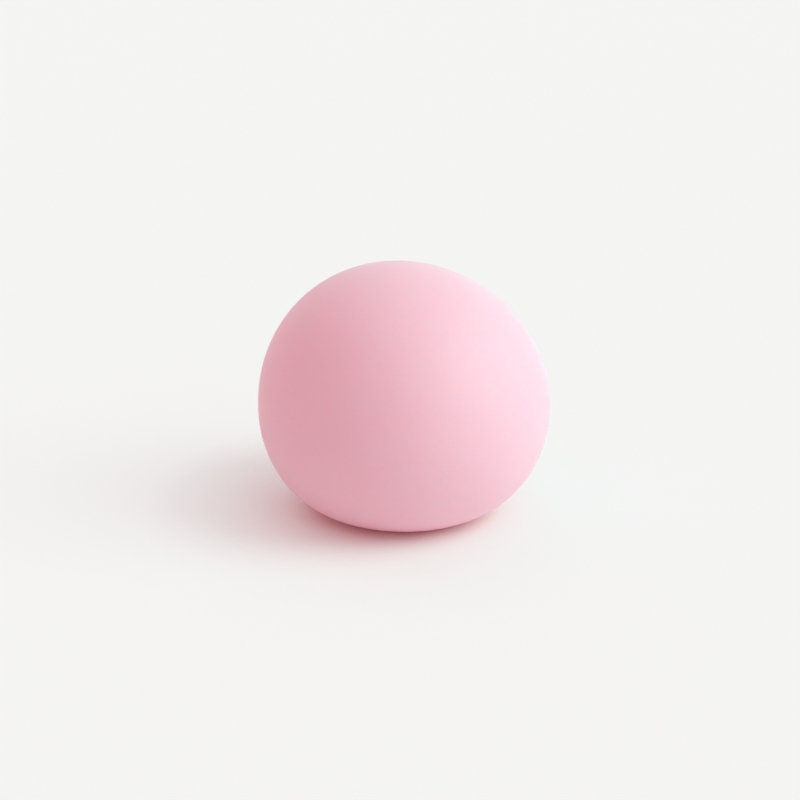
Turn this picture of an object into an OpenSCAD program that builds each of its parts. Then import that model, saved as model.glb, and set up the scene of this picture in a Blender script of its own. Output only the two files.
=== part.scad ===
// Squeeze ball: a soft moulded skin full of dough, closed by a plug in its underside.
// The ball stands on a table and has sagged under its own weight into a rounded, flat-footed form.
// Millimetres, +Z up. The origin is the middle of the flat foot, on the table.

/* [Ball] */
// Width across the belly, where the sagged ball is widest
belly_d = 66; // [56:0.5:90]
// Height of the crown above the belly
crown_h = 32.5; // [26:0.5:45]
// Height of the belly above the table
belly_h = 24.2; // [18:0.1:34]
// Width of the flat foot that the ball sags onto
foot_d = 25.6; // [20:0.1:40]

/* [Skin] */
// Thickness of the moulded skin
wall = 2.4; // [1.5:0.1:4]

/* [Fill port] */
// Bore of the port that the dough is pumped through
port_d = 6; // [4.5:0.1:8]
// Wall of the neck around the plug's seat
neck_wall = 1.5; // [1:0.1:2.5]
// Height of the neck above the inside of the skin
neck_h = 4.6; // [3:0.1:8]
// Radius where the neck runs out into the skin
neck_fillet = 1; // [0.5:0.1:2]

/* [Plug] */
// Width of the plug's head
head_d = 10.2; // [9:0.1:13]
// Thickness of the plug's head
head_t = 1.6; // [1:0.1:2.5]
// Depth of the head's face inside the underside of the ball
head_inset = 0.5; // [0.2:0.1:1]
// Clearance around the plug's shank in the port
shank_clearance = 0.05; // [0.02:0.01:0.2]
// How far the barb stands out past the port
barb_lip = 1; // [0.5:0.1:2]
// Length of the barb's taper
barb_h = 3.5; // [2:0.1:6]
// Width of the barb's blunt tip
tip_d = 3.6; // [2:0.1:4.4]
// Clearance under the barb's shoulder
barb_clearance = 0.1; // [0.05:0.05:0.3]

/* [Seal] */
// Thickness of the adhesive above and around the plug's head
seal_t = 0.4; // [0.2:0.1:0.8]
// Clearance at the seal's round faces
seal_clearance = 0.02; // [0.01:0.01:0.05]

/* [Filling] */
// Clearance between the dough and what holds it
filling_clearance = 0.3; // [0.1:0.1:0.4]

/* [Hidden] */

// Straight steps in a quarter round of a profile, and sides of a turned shape
arc_steps = 24;
turn_sides = 128;

belly_r = belly_d / 2;
foot_r = foot_d / 2;
port_r = port_d / 2;

// Plug head, adhesive and neck nest inside one another, from the axis outwards
head_r = head_d / 2;
recess_r = head_r + seal_t;
neck_r = recess_r + neck_wall;

// Levels above the table, from the plug's face up to the tip of its barb
head_top = head_inset + head_t;
recess_top = head_top + seal_t;
neck_top = wall + neck_h;
barb_base = neck_top + barb_clearance;
barb_top = barb_base + barb_h;

shank_r = port_r - shank_clearance;
barb_r = port_r + barb_lip;
tip_r = tip_d / 2;

// Quarter round from the belly up to the crown's middle, moved in by inset
function crown_arc(inset) = [
    for (i = [0 : arc_steps])
        let (t = 90 * i / arc_steps)
        [(belly_r - inset) * cos(t), belly_h + (crown_h - inset) * sin(t)]
];

// Quarter round from the belly down to the edge of the flat foot, moved in by inset
function foot_arc(inset) = [
    for (i = [0 : arc_steps])
        let (t = 90 * i / arc_steps)
        [foot_r + (belly_r - foot_r - inset) * cos(t), belly_h - (belly_h - inset) * sin(t)]
];

// Hollow quarter round where the neck runs out into the skin, moved away from both by gap
function neck_root(gap) = [
    for (i = [0 : arc_steps])
        let (t = 90 * i / arc_steps)
        [neck_r + neck_fillet, wall + neck_fillet] - (neck_fillet - gap) * [cos(t), sin(t)]
];

function reversed(points) = [for (i = [len(points) - 1 : -1 : 0]) points[i]];

module turned(points) {
    rotate_extrude($fn = turn_sides) polygon(points);
}

// Lower half of the skin, from the belly line down, with the fill port's neck standing inside it
module lower_skin() {
    color("lightpink")
        turned(concat(
            foot_arc(0),
            [
                [recess_r, 0],
                [recess_r, recess_top],
                [port_r, recess_top],
                [port_r, neck_top],
                [neck_r, neck_top]
            ],
            neck_root(0),
            reversed(foot_arc(wall))
        ));
}

// Upper half of the skin, the domed crown that a palm presses down
module upper_skin() {
    color("lightpink")
        turned(concat(crown_arc(0), reversed(crown_arc(wall))));
}

// Dough that fills the skin and wraps the port's neck and the plug's barb
module filling() {
    inset = wall + filling_clearance;
    color("mistyrose")
        turned(concat(
            reversed(crown_arc(inset)),
            foot_arc(inset),
            reversed(neck_root(filling_clearance)),
            [
                [neck_r + filling_clearance, neck_top + filling_clearance],
                [barb_r + filling_clearance, neck_top + filling_clearance],
                [barb_r + filling_clearance, barb_base + filling_clearance],
                [tip_r + filling_clearance, barb_top + filling_clearance],
                [0, barb_top + filling_clearance]
            ]
        ));
}

// Stopper pushed into the port, with a flat head outside and a barb that grips the neck inside
module fill_plug() {
    color("pink")
        turned([
            [0, head_inset],
            [head_r, head_inset],
            [head_r, head_top],
            [shank_r, head_top],
            [shank_r, barb_base],
            [barb_r, barb_base],
            [tip_r, barb_top],
            [0, barb_top]
        ]);
}

// Cured adhesive that beds the plug's head in its recess
module plug_seal() {
    inner_r = head_r + seal_clearance;
    outer_r = recess_r - seal_clearance;
    color("ivory")
        turned([
            [inner_r, head_inset],
            [outer_r, head_inset],
            [outer_r, recess_top],
            [port_r, recess_top],
            [port_r, head_top],
            [inner_r, head_top]
        ]);
}

lower_skin();
upper_skin();
filling();
fill_plug();
plug_seal();
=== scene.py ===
import math

import bpy
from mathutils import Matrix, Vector


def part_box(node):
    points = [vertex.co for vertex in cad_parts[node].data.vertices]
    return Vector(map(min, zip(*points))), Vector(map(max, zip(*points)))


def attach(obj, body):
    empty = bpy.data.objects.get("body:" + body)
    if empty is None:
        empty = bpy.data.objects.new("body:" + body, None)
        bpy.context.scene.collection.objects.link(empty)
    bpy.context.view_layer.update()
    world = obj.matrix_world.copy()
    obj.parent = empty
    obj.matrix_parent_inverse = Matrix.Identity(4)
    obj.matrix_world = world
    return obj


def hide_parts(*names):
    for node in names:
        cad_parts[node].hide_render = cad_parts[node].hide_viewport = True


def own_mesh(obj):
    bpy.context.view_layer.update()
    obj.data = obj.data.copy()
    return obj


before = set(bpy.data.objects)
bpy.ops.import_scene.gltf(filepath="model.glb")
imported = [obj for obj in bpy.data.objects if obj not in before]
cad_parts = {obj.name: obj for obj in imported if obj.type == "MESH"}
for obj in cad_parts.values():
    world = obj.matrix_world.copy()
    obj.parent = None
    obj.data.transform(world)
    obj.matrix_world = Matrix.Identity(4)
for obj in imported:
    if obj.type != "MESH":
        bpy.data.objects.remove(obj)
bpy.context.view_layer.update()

# Skin
# One hollow moulding of soft pastel rubber with a pale phosphor pigment mixed into it. Full of dough, it has
# settled onto a flat foot and leans a little to the left. The port that it was filled through is underneath,
# at the bottom of a recess, and its neck stands up inside.
crown_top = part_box("upper_skin")[1].z
belly_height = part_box("lower_skin")[1].z
belly_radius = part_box("lower_skin")[1].x
crown_height = crown_top - belly_height
foot_radius = 0.0128
foot_land_radius = 0.0096
crown_lean = 0.00164
lean_power = 1.5
skin_wall = 0.0024
seal_clearance = 0.00002
recess_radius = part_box("plug_seal")[1].x + seal_clearance
recess_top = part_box("plug_seal")[1].z
port_radius = 0.003
neck_wall = 0.0015
neck_radius = recess_radius + neck_wall
neck_top = 0.007
neck_run_out = 0.001
mouth_round = 0.0006
moulded_round = 0.0003
skin_turns = 240
outer_crown_steps = 60
outer_foot_steps = 56
inner_crown_steps = 30
inner_foot_steps = 28
skin_lumps = 0.00008
skin_lump_scale = 2.0
skin_seed = 3.0
lump_detail = 1.0
seam_gap = 1e-6


def ball_crown(inset, steps):
    """Profile from the middle of the crown out to the belly, moved in by inset."""
    angles = [math.pi / 2 * (1 - i / steps) for i in range(steps + 1)]
    return [
        ((belly_radius - inset) * math.cos(a), belly_height + (crown_height - inset) * math.sin(a))
        for a in angles
    ]


def ball_foot(inset, steps):
    """Profile from the belly down to the edge of the flat foot, moved in by inset."""
    angles = [math.pi / 2 * i / steps for i in range(steps + 1)]
    roll = belly_radius - foot_radius - inset
    return [
        (foot_radius + roll * math.cos(a), belly_height - (belly_height - inset) * math.sin(a))
        for a in angles
    ]


def rounded(corners, steps=6):
    """Profile through corners given as (radius, height, rounding), with an arc at each rounded corner."""
    points = []
    for i, (x, z, rounding) in enumerate(corners):
        corner = Vector((x, z))
        if rounding == 0 or i in (0, len(corners) - 1):
            points.append(tuple(corner))
            continue
        before = (Vector(corners[i - 1][:2]) - corner).normalized()
        after = (Vector(corners[i + 1][:2]) - corner).normalized()
        half_angle = before.angle(after) / 2
        centre = corner + (before + after).normalized() * (rounding / math.sin(half_angle))
        start = corner + before * (rounding / math.tan(half_angle)) - centre
        end = corner + after * (rounding / math.tan(half_angle)) - centre
        for k in range(steps + 1):
            spoke = start.slerp(end, k / steps).normalized() * rounding
            points.append(tuple(centre + spoke))
    return points


def open_tree(name, kind, inputs, outputs):
    """New node tree with named sockets. Gives the tree, the values given to it and its results."""
    tree = bpy.data.node_groups.new(name, kind)
    for title, socket, value in inputs:
        made = tree.interface.new_socket(title, in_out="INPUT", socket_type="NodeSocket" + socket)
        if value is not None:
            made.default_value = value
    for title, socket in outputs:
        tree.interface.new_socket(title, in_out="OUTPUT", socket_type="NodeSocket" + socket)
    given = tree.nodes.new("NodeGroupInput").outputs
    results = tree.nodes.new("NodeGroupOutput").inputs
    return tree, given, results


def add(tree, kind, sockets=(), **settings):
    """New node in a tree, with each socket set to a plain value or linked to another node's output."""
    made = tree.nodes.new(kind)
    for name, value in settings.items():
        setattr(made, name, value)
    for key, value in dict(sockets).items():
        if isinstance(value, bpy.types.NodeSocket):
            tree.links.new(value, made.inputs[key])
        else:
            made.inputs[key].default_value = value
    return made


def calc(tree, operation, *values, clamp=False):
    """Output of a Math node that works on these values."""
    made = add(tree, "ShaderNodeMath", enumerate(values), operation=operation, use_clamp=clamp)
    return made.outputs[0]


def vector_calc(tree, operation, *values):
    """Output of a Vector Math node that works on these values."""
    return add(tree, "ShaderNodeVectorMath", enumerate(values), operation=operation).outputs[0]


def joined(tree, x=0.0, y=0.0, z=0.0):
    """Vector put together from three values."""
    return add(tree, "ShaderNodeCombineXYZ", {0: x, 1: y, 2: z}).outputs[0]


def settled_turning():
    """Node tree that turns a profile about the upright axis, then makes it a little uneven and leans it."""
    tree, given, results = open_tree(
        "settled_turning",
        "GeometryNodeTree",
        (
            ("Profile", "Geometry", None),
            ("Turns", "Int", skin_turns),
            ("Belly Height", "Float", belly_height),
            ("Crown Height", "Float", crown_height),
            ("Lean", "Float", crown_lean),
            ("Lean Power", "Float", lean_power),
            ("Lumps", "Float", 0.0),
            ("Lump Scale", "Float", skin_lump_scale),
            ("Lump Fade", "Float", belly_height),
            ("Seed", "Float", skin_seed),
            ("Material", "Material", None),
        ),
        (("Piece", "Geometry"),),
    )

    # A grid with one row for each point of the profile is wrapped once around the axis
    size = add(tree, "GeometryNodeAttributeDomainSize", {"Geometry": given["Profile"]})
    count = size.outputs["Point Count"]
    columns = calc(tree, "ADD", given["Turns"], 1.0)
    grid = add(tree, "GeometryNodeMeshGrid", {"Vertices X": columns, "Vertices Y": count})
    index = add(tree, "GeometryNodeInputIndex").outputs[0]
    column = calc(tree, "FLOOR", calc(tree, "DIVIDE", calc(tree, "ADD", index, 0.5), count))
    angle = calc(tree, "MULTIPLY", calc(tree, "DIVIDE", column, given["Turns"]), math.tau)
    picked = add(
        tree,
        "GeometryNodeSampleIndex",
        {"Geometry": given["Profile"], "Index": calc(tree, "MODULO", index, count)},
        data_type="FLOAT_VECTOR",
    )
    tree.links.new(add(tree, "GeometryNodeInputPosition").outputs[0], picked.inputs["Value"])
    radius, _, height = add(tree, "ShaderNodeSeparateXYZ", {0: picked.outputs[0]}).outputs
    across = calc(tree, "MULTIPLY", radius, calc(tree, "COSINE", angle))
    along = calc(tree, "MULTIPLY", radius, calc(tree, "SINE", angle))
    wrapped = add(
        tree,
        "GeometryNodeSetPosition",
        {"Geometry": grid.outputs["Mesh"], "Position": joined(tree, across, along, height)},
    )
    merged = add(
        tree,
        "GeometryNodeMergeByDistance",
        {"Geometry": wrapped.outputs[0], "Distance": seam_gap},
    )

    # Lumps follow the direction from the middle of the belly, so that a wall keeps its thickness. The noise
    # runs from 0 to 1, so it is centred to swing as far in as out.
    place = add(tree, "GeometryNodeInputPosition").outputs[0]
    level = add(tree, "ShaderNodeSeparateXYZ", {0: place}).outputs[2]
    middle = joined(tree, z=given["Belly Height"])
    outward = vector_calc(tree, "NORMALIZE", vector_calc(tree, "SUBTRACT", place, middle))
    lumpy = add(
        tree,
        "ShaderNodeTexNoise",
        {
            "Vector": outward,
            "W": given["Seed"],
            "Scale": given["Lump Scale"],
            "Detail": lump_detail,
        },
        noise_dimensions="4D",
    )
    swing = calc(tree, "MULTIPLY", calc(tree, "SUBTRACT", lumpy.outputs[0], 0.5), 2.0)
    fade = calc(tree, "DIVIDE", level, given["Lump Fade"], clamp=True)
    swell = calc(tree, "MULTIPLY", calc(tree, "MULTIPLY", swing, given["Lumps"]), fade)
    lump = vector_calc(tree, "MULTIPLY", outward, joined(tree, swell, swell, swell))

    # The crown leans further the higher it is above the belly
    above_belly = calc(tree, "SUBTRACT", level, given["Belly Height"])
    share = calc(tree, "DIVIDE", above_belly, given["Crown Height"], clamp=True)
    shift = calc(tree, "MULTIPLY", calc(tree, "POWER", share, given["Lean Power"]), given["Lean"])
    swollen = vector_calc(tree, "ADD", place, lump)
    leant = vector_calc(tree, "SUBTRACT", swollen, joined(tree, x=shift))
    settled = add(
        tree,
        "GeometryNodeSetPosition",
        {"Geometry": merged.outputs[0], "Position": leant},
    )

    outside = add(tree, "GeometryNodeFlipFaces", {"Mesh": settled.outputs[0]})
    smooth = add(tree, "GeometryNodeSetShadeSmooth", {"Geometry": outside.outputs[0]})
    realized = add(tree, "GeometryNodeRealizeInstances", {"Geometry": smooth.outputs[0]})
    coated = add(
        tree,
        "GeometryNodeSetMaterial",
        {"Geometry": realized.outputs[0], "Material": given["Material"]},
    )
    tree.links.new(coated.outputs[0], results["Piece"])
    return tree


turning = settled_turning()


def turned_piece(name, profile, material, **sizes):
    """Object of that name: the profile turned about the upright axis, as a plain mesh."""
    outline = bpy.data.meshes.new(name + "_profile")
    edges = [(i, i + 1) for i in range(len(profile) - 1)]
    outline.from_pydata([(x, 0, z) for x, z in profile], edges, [])
    source = bpy.data.objects.new(name + "_profile", outline)
    bpy.context.scene.collection.objects.link(source)
    modifier = source.modifiers.new("turning", "NODES")
    modifier.node_group = turning
    values = {"Material": material}
    values.update({key.replace("_", " ").title(): value for key, value in sizes.items()})
    for item in turning.interface.items_tree:
        if item.name in values:
            modifier[item.identifier] = values[item.name]
    bpy.context.view_layer.update()
    evaluated = source.evaluated_get(bpy.context.evaluated_depsgraph_get())
    mesh = bpy.data.meshes.new_from_object(evaluated)
    mesh.name = name
    mesh.update()
    bpy.data.objects.remove(source)
    piece = bpy.data.objects.new(name, mesh)
    bpy.context.scene.collection.objects.link(piece)
    return piece


# The rubber's colours, and its texture as scales for each metre, ranges of noise and roughness
skin_pink = (0.87, 0.476, 0.574, 1)
pigment_pale = (0.93, 0.66, 0.72, 1)
# Deeper crimson near the table: painted shade for the crevice where the ball meets the table.
contact_shade_pink = (0.82, 0.27, 0.35, 1)
contact_shade_height = 0.005
table_dust = (0.66, 0.52, 0.53, 1)
cloud_scale = 70.0
cloud_detail = 3.0
speck_scale = 1400.0
speck_edge = 0.32
speck_middle = 0.12
smudge_scale = 900.0
smudge_detail = 5.0
smudge_edge = 0.48
smudge_middle = 0.72
grain_detail = 2.0
smoothest_rubber = 0.5
powdery_rubber = 0.64
dust_dulling = 0.25
skin_grain_depth = 0.000004
skin_dust = 0.3
skin_depth = (2.0, 0.7, 0.7)
rubber_ior = 1.48


def noise(tree, place, scale, detail):
    """Output of a Noise Texture, from 0 to 1."""
    made = add(tree, "ShaderNodeTexNoise", {"Vector": place, "Scale": scale, "Detail": detail})
    return made.outputs["Fac"]


def ramp(tree, value, start, full, low=0.0, high=1.0, easing="LINEAR"):
    """Output of a Map Range node: low where the value is at start, high where it is at full."""
    made = add(
        tree,
        "ShaderNodeMapRange",
        {"Value": value, "From Min": start, "From Max": full, "To Min": low, "To Max": high},
        interpolation_type=easing,
    )
    return made.outputs[0]


def mix_colour(tree, share, colour, other):
    """Output of a Mix node that goes from one colour to the other as the share goes from 0 to 1."""
    made = add(tree, "ShaderNodeMix", {"Factor": share, 6: colour, 7: other}, data_type="RGBA")
    return made.outputs[2]


def moulded_rubber():
    """Shader group for soft moulded rubber: faint clouds, phosphor specks, a powdery grain and a dusty foot.

    Within a few millimetres of the table the colour deepens to crimson, which is painted shade for the
    crevice under the ball.
    """
    tree, given, results = open_tree(
        "moulded_rubber",
        "ShaderNodeTree",
        (
            ("Rubber", "Color", skin_pink),
            ("Pigment", "Color", pigment_pale),
            ("Cloud", "Float", 0.12),
            ("Specks", "Float", 0.12),
            ("Grain Size", "Float", 0.0005),
            ("Thick Rubber", "Color", contact_shade_pink),
            ("Contact Shade Height", "Float", contact_shade_height),
            ("Dust", "Color", table_dust),
            ("Dust Share", "Float", 0.0),
            ("Dust Height", "Float", 0.0003),
        ),
        (("Color", "Color"), ("Roughness", "Float"), ("Height", "Float")),
    )
    place = add(tree, "ShaderNodeTexCoord").outputs["Object"]
    level = add(tree, "ShaderNodeSeparateXYZ", {0: place}).outputs[2]

    # Painted shade: within a few millimetres of the table the colour deepens to crimson, as in the crevice
    # under the ball.
    contact_shade_share = ramp(tree, level, given["Contact Shade Height"], 0.0, easing="SMOOTHSTEP")
    contact_shaded = mix_colour(tree, contact_shade_share, given["Rubber"], given["Thick Rubber"])

    cloud = noise(tree, place, cloud_scale, cloud_detail)
    specks = add(tree, "ShaderNodeTexVoronoi", {"Vector": place, "Scale": speck_scale})
    dots = ramp(tree, specks.outputs["Distance"], speck_edge, speck_middle)
    clouded = calc(tree, "MULTIPLY", cloud, given["Cloud"])
    speckled = calc(tree, "MULTIPLY", dots, given["Specks"])
    pale = calc(tree, "ADD", clouded, speckled, clamp=True)
    tinted = mix_colour(tree, pale, contact_shaded, given["Pigment"])

    smudge = noise(tree, place, smudge_scale, smudge_detail)
    patchy = ramp(tree, smudge, smudge_edge, smudge_middle)
    rise = calc(tree, "DIVIDE", level, given["Dust Height"])
    near_table = calc(tree, "SUBTRACT", 1.0, rise, clamp=True)
    worn = calc(tree, "MULTIPLY", calc(tree, "MULTIPLY", near_table, patchy), given["Dust Share"])
    dusty = mix_colour(tree, worn, tinted, given["Dust"])
    tree.links.new(dusty, results["Color"])

    fineness = calc(tree, "DIVIDE", 1.0, given["Grain Size"])
    tree.links.new(noise(tree, place, fineness, grain_detail), results["Height"])
    powder = ramp(tree, cloud, 0.0, 1.0, smoothest_rubber, powdery_rubber)
    dulled = calc(tree, "ADD", powder, calc(tree, "MULTIPLY", worn, dust_dulling), clamp=True)
    tree.links.new(dulled, results["Roughness"])
    return tree


def surface_material(name, group, bump_depth, **values):
    """Material with a surface group and its bump. Gives the material and its Principled shader."""
    material = bpy.data.materials.new(name)
    material.use_nodes = True
    tree = material.node_tree
    shader = tree.nodes["Principled BSDF"]
    surface = add(tree, "ShaderNodeGroup", node_tree=group)
    for key, value in values.items():
        surface.inputs[key.replace("_", " ").title()].default_value = value
    bump = add(
        tree, "ShaderNodeBump", {"Distance": bump_depth, "Height": surface.outputs["Height"]}
    )
    tree.links.new(surface.outputs["Color"], shader.inputs["Base Color"])
    tree.links.new(surface.outputs["Roughness"], shader.inputs["Roughness"])
    tree.links.new(bump.outputs["Normal"], shader.inputs["Normal"])
    return material, shader


def let_light_in(shader, share, depth):
    """Lets a share of the light into the surface. The depth is in millimetres for red, green and blue."""
    millimetre = 0.001
    shader.inputs["Subsurface Weight"].default_value = share
    shader.inputs["Subsurface Radius"].default_value = depth
    shader.inputs["Subsurface Scale"].default_value = millimetre


rubber_surface = moulded_rubber()
skin_rubber, shader = surface_material(
    "skin_rubber", rubber_surface, skin_grain_depth, dust_share=skin_dust
)
let_light_in(shader, 1.0, skin_depth)
shader.inputs["IOR"].default_value = rubber_ior

skin_profile = (
    ball_crown(0, outer_crown_steps)
    + ball_foot(0, outer_foot_steps)[1:]
    + rounded(
        (
            (foot_land_radius, 0, 0),
            (recess_radius, 0, mouth_round),
            (recess_radius, recess_top, moulded_round),
            (port_radius, recess_top, moulded_round),
            (port_radius, neck_top, moulded_round),
            (neck_radius, neck_top, moulded_round),
            (neck_radius, skin_wall, neck_run_out),
            (foot_radius, skin_wall, 0),
        )
    )
    + ball_foot(skin_wall, inner_foot_steps)[-2::-1]
    + ball_crown(skin_wall, inner_crown_steps)[-2::-1]
)
skin = turned_piece("skin", skin_profile, skin_rubber, lumps=skin_lumps)
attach(skin, "base")
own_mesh(skin)
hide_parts("lower_skin", "upper_skin")

# Filling
# Soft pale dough that was pumped in through the port and fills the skin. It takes the skin's form, a little
# lumpy, and closes around the port's neck and the barb of the plug.
dough_clearance = 0.0003
dough_inset = skin_wall + dough_clearance
dough_neck_radius = neck_radius + dough_clearance
dough_neck_top = neck_top + dough_clearance
barb_radius = 0.004
barb_base = 0.0071
barb_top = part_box("fill_plug")[1].z
barb_tip_radius = 0.0018
dough_barb_radius = barb_radius + dough_clearance
dough_barb_top = barb_top + dough_clearance
dough_turns = 128
dough_crown_steps = 40
dough_foot_steps = 36
dough_lumps = 0.0001
dough_lump_scale = 4.0
dough_seed = 8.0
dough_cream = (0.86, 0.70, 0.68, 1)
dough_pale = (0.90, 0.78, 0.75, 1)
patch_detail = 3.0
ripple_detail = 2.0
dough_ripple_depth = 0.00003
dough_depth = (4.0, 2.0, 2.0)


def uneven_paste():
    """Shader group for something poured and set: two tones in patches, and a soft uneven surface."""
    tree, given, results = open_tree(
        "uneven_paste",
        "ShaderNodeTree",
        (
            ("Main", "Color", dough_cream),
            ("Second", "Color", dough_pale),
            ("Patch Size", "Float", 0.004),
            ("Ripple Size", "Float", 0.001),
            ("Smoothest", "Float", 0.55),
            ("Roughest", "Float", 0.8),
        ),
        (("Color", "Color"), ("Roughness", "Float"), ("Height", "Float")),
    )
    place = add(tree, "ShaderNodeTexCoord").outputs["Object"]
    patches = noise(tree, place, calc(tree, "DIVIDE", 1.0, given["Patch Size"]), patch_detail)
    toned = mix_colour(tree, patches, given["Main"], given["Second"])
    tree.links.new(toned, results["Color"])
    gloss = ramp(tree, patches, 0.0, 1.0, given["Smoothest"], given["Roughest"])
    tree.links.new(gloss, results["Roughness"])
    ripples = noise(tree, place, calc(tree, "DIVIDE", 1.0, given["Ripple Size"]), ripple_detail)
    tree.links.new(ripples, results["Height"])
    return tree


paste_surface = uneven_paste()
dough, shader = surface_material("dough", paste_surface, dough_ripple_depth)
let_light_in(shader, 0.6, dough_depth)

filling_profile = (
    ball_crown(dough_inset, dough_crown_steps)
    + ball_foot(dough_inset, dough_foot_steps)[1:]
    + rounded(
        (
            (foot_radius, dough_inset, 0),
            (dough_neck_radius, dough_inset, neck_run_out - dough_clearance),
            (dough_neck_radius, dough_neck_top, moulded_round),
            (dough_barb_radius, dough_neck_top, 0),
            (dough_barb_radius, barb_base + dough_clearance, 0),
            (barb_tip_radius + dough_clearance, dough_barb_top, moulded_round),
            (0, dough_barb_top, 0),
        )
    )[1:]
)
filling = turned_piece(
    "dough_filling",
    filling_profile,
    dough,
    turns=dough_turns,
    lumps=dough_lumps,
    lump_scale=dough_lump_scale,
    seed=dough_seed,
)
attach(filling, "base")
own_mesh(filling)
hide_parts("filling")

# Plug seal
# A bead of milky adhesive in the recess, laid around the port before the plug is pushed home. It beds the
# plug's head and is squeezed out around its edge, where it has set glossy and a little ragged.
head_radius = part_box("fill_plug")[1].x
head_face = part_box("fill_plug")[0].z
head_top = 0.0021
seal_inner = head_radius + seal_clearance
seal_outer = recess_radius - seal_clearance
seal_middle = (seal_inner + seal_outer) / 2
seal_lap = 0.0003
bead_rise = 0.00022
bead_round = 0.0003
bead_turns = 120
bead_lumps = 0.0001
bead_lump_scale = 30.0
bead_lump_fade = 0.0001
adhesive_milk = (0.84, 0.74, 0.70, 1)
adhesive_clear = (0.80, 0.66, 0.62, 1)
bead_ripple_depth = 0.00004
adhesive_depth = (1.0, 0.7, 0.6)

adhesive, shader = surface_material(
    "adhesive",
    paste_surface,
    bead_ripple_depth,
    main=adhesive_milk,
    second=adhesive_clear,
    patch_size=0.002,
    ripple_size=0.0012,
    smoothest=0.12,
    roughest=0.3,
)
let_light_in(shader, 0.5, adhesive_depth)

seal_profile = rounded(
    (
        (port_radius, head_top, 0),
        (port_radius, recess_top, 0),
        (seal_outer, recess_top, 0),
        (seal_outer, head_face - bead_rise / 2, 0),
        (seal_middle, head_face - bead_rise, bead_round),
        (seal_inner - seal_lap, head_face - bead_rise / 4, 0),
        (seal_inner, head_face, 0),
        (seal_inner, head_top, 0),
        (port_radius, head_top, 0),
    )
)
plug_seal = turned_piece(
    "adhesive_bead",
    seal_profile,
    adhesive,
    turns=bead_turns,
    lumps=bead_lumps,
    lump_scale=bead_lump_scale,
    lump_fade=bead_lump_fade,
)
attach(plug_seal, "base")
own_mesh(plug_seal)
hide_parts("plug_seal")

# Fill plug
# A small moulded stopper of the same rubber as the skin, pushed into the port once the ball is full. Its
# barb grips the top of the neck inside. Its face is slightly dished, with the nub of the mould's gate in
# the middle.
shank_radius = 0.00295
edge_round = 0.0004
face_dish = 0.00012
dish_radius = 0.0036
dish_floor_radius = dish_radius * 0.7
dish_floor = head_face + face_dish
dish_round = 0.0008
gate_radius = 0.0007
gate_tip_radius = gate_radius * 0.8
gate_height = 0.00025
gate_tip = dish_floor - gate_height
gate_round = 0.0001
plug_turns = 96
plug_pink = (0.87, 0.42, 0.51, 1)
plug_grain_depth = 0.000006
plug_depth = (3.0, 1.0, 1.0)

plug_rubber, shader = surface_material(
    "plug_rubber",
    rubber_surface,
    plug_grain_depth,
    rubber=plug_pink,
    # The plug gets no painted shade: its shade colour is its own pink.
    thick_rubber=plug_pink,
    cloud=0.2,
    grain_size=0.0003,
)
let_light_in(shader, 0.6, plug_depth)

plug_profile = rounded(
    (
        (0, barb_top, 0),
        (barb_tip_radius, barb_top, moulded_round),
        (barb_radius, barb_base, moulded_round),
        (shank_radius, barb_base, moulded_round),
        (shank_radius, head_top, moulded_round),
        (head_radius, head_top, edge_round),
        (head_radius, head_face, edge_round),
        (dish_radius, head_face, dish_round),
        (dish_floor_radius, dish_floor, dish_round),
        (gate_radius, dish_floor, gate_round),
        (gate_tip_radius, gate_tip, gate_round),
        (0, gate_tip, 0),
    )
)
fill_plug = turned_piece("port_plug", plug_profile, plug_rubber, turns=plug_turns)
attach(fill_plug, "base")
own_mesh(fill_plug)
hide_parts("fill_plug")

# Table
# A plain pale table top with a matt finish, which the ball stands on. It isn't part of the object. Away from
# the ball the camera and reflections also see painted light on the table, which lifts the shadow so that it
# fades out sooner. The painted light lights nothing.
table_size = 12.0
table_white = (0.88, 0.85, 0.84, 1)
table_roughness = 0.8
table_specular = 0.2
painted_light = (0.925, 0.90, 0.905, 1)
painted_light_share = 0.7
painted_light_start = 0.020
painted_light_full = 0.060


def seen_rays(tree):
    """Value that is 1 for what is seen, directly or in a reflection, and 0 for light on its way."""
    ray = add(tree, "ShaderNodeLightPath").outputs
    mirrored = calc(tree, "ADD", ray["Is Glossy Ray"], ray["Is Transmission Ray"])
    return calc(tree, "ADD", ray["Is Camera Ray"], mirrored, clamp=True)


reach = table_size / 2
corners = [(-reach, -reach, 0), (reach, -reach, 0), (reach, reach, 0), (-reach, reach, 0)]
table_mesh = bpy.data.meshes.new("table")
table_mesh.from_pydata(corners, [], [(0, 1, 2, 3)])
table = bpy.data.objects.new("table", table_mesh)
bpy.context.scene.collection.objects.link(table)
table_paint = bpy.data.materials.new("table_paint")
table_paint.use_nodes = True
table_paint.cycles.emission_sampling = "NONE"
coat = table_paint.node_tree
paint = coat.nodes["Principled BSDF"]
paint.inputs["Base Color"].default_value = table_white
paint.inputs["Roughness"].default_value = table_roughness
paint.inputs["Specular IOR Level"].default_value = table_specular
place = add(coat, "ShaderNodeTexCoord").outputs["Object"]
from_ball = add(coat, "ShaderNodeVectorMath", {0: place}, operation="LENGTH").outputs["Value"]
# Painted light on the table, from none near the ball to its full share further out.
pale = ramp(coat, from_ball, painted_light_start, painted_light_full, high=painted_light_share)
painted_light_seen = calc(coat, "MULTIPLY", pale, seen_rays(coat))
own_light = add(coat, "ShaderNodeEmission", {"Color": painted_light})
both = add(coat, "ShaderNodeMixShader", {0: painted_light_seen, 1: paint.outputs[0], 2: own_light.outputs[0]})
coat.links.new(both.outputs[0], coat.nodes["Material Output"].inputs["Surface"])
table_mesh.materials.append(table_paint)

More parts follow.
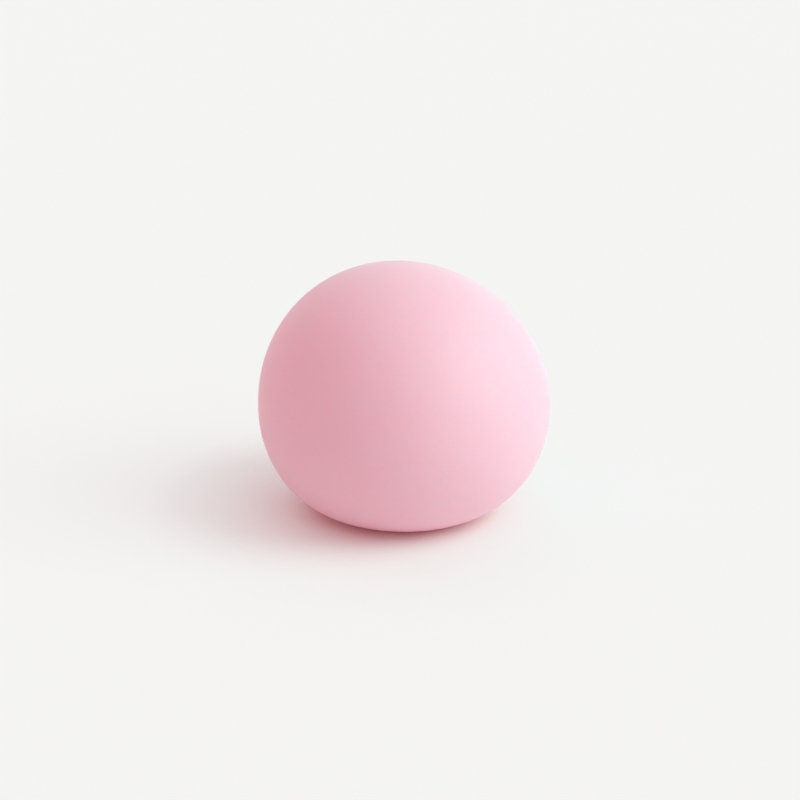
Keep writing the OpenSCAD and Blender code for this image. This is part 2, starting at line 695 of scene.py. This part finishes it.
# Studio light
# A slightly cool window on the right, its low light from nearer the viewer, a pale wall beyond the table,
# a warm wall on the left and an even room all around. Seen directly or in a reflection, the room is white.
room_light = (0.50, 0.46, 0.47, 1)
room_white = (1, 1, 1, 1)
window_light = (0.36, 0.57, 0.53)
low_light = (0.32, 0.44, 0.41)
far_wall_light = (0.10, 0.21, 0.19)
warm_light = (0.21, 0.05, 0.05)
light_bounces = 24

world = bpy.data.worlds.new("room")
bpy.context.scene.world = world
world.use_nodes = True
room = world.node_tree
shown = mix_colour(room, seen_rays(room), room_light, room_white)
room.links.new(shown, room.nodes["Background"].inputs["Color"])


def soft_light(name, azimuth, height, spread, colour):
    """Wide soft light from far off, at an azimuth and a height, with a spread, all in degrees.

    The colour is what the light alone lays on a white wall that faces it.
    """
    lamp = bpy.data.lights.new(name, "SUN")
    lamp.angle = math.radians(spread)
    lamp.energy = math.pi * max(colour)
    lamp.color = [channel / max(colour) for channel in colour]
    light = bpy.data.objects.new(name, lamp)
    around = math.radians(azimuth)
    above = math.radians(height)
    level = math.cos(above)
    towards = Vector((math.cos(around) * level, math.sin(around) * level, math.sin(above)))
    light.rotation_euler = (-towards).to_track_quat("-Z", "Y").to_euler()
    bpy.context.scene.collection.objects.link(light)


soft_light("window", azimuth=-8, height=38, spread=40, colour=window_light)
soft_light("low_window", azimuth=-32, height=14, spread=70, colour=low_light)
soft_light("far_wall", azimuth=90, height=30, spread=100, colour=far_wall_light)
soft_light("warm_wall", azimuth=180, height=30, spread=100, colour=warm_light)
bpy.context.scene.cycles.max_bounces = light_bounces
bpy.context.scene.cycles.diffuse_bounces = light_bounces

# Camera
# Level with a seated viewer's eyes, looking down on the ball as in the photograph.
view_height = math.radians(20)
view_distance = 0.4486
view_centre = Vector((0, 0, 0.0271))
aim = Vector((-0.00094, -0.0006, 0.0255))
film_width = 36
focal_length = 89.35
camera_data = bpy.data.cameras.new("camera")
camera_data.sensor_width = film_width
camera_data.lens = focal_length
camera = bpy.data.objects.new("camera", camera_data)
back = Vector((0, -math.cos(view_height), math.sin(view_height)))
camera.location = view_centre + back * view_distance
camera.rotation_euler = (aim - camera.location).to_track_quat("-Z", "Y").to_euler()
bpy.context.scene.collection.objects.link(camera)
bpy.context.scene.camera = camera
bpy.context.scene.view_settings.view_transform = "Standard"
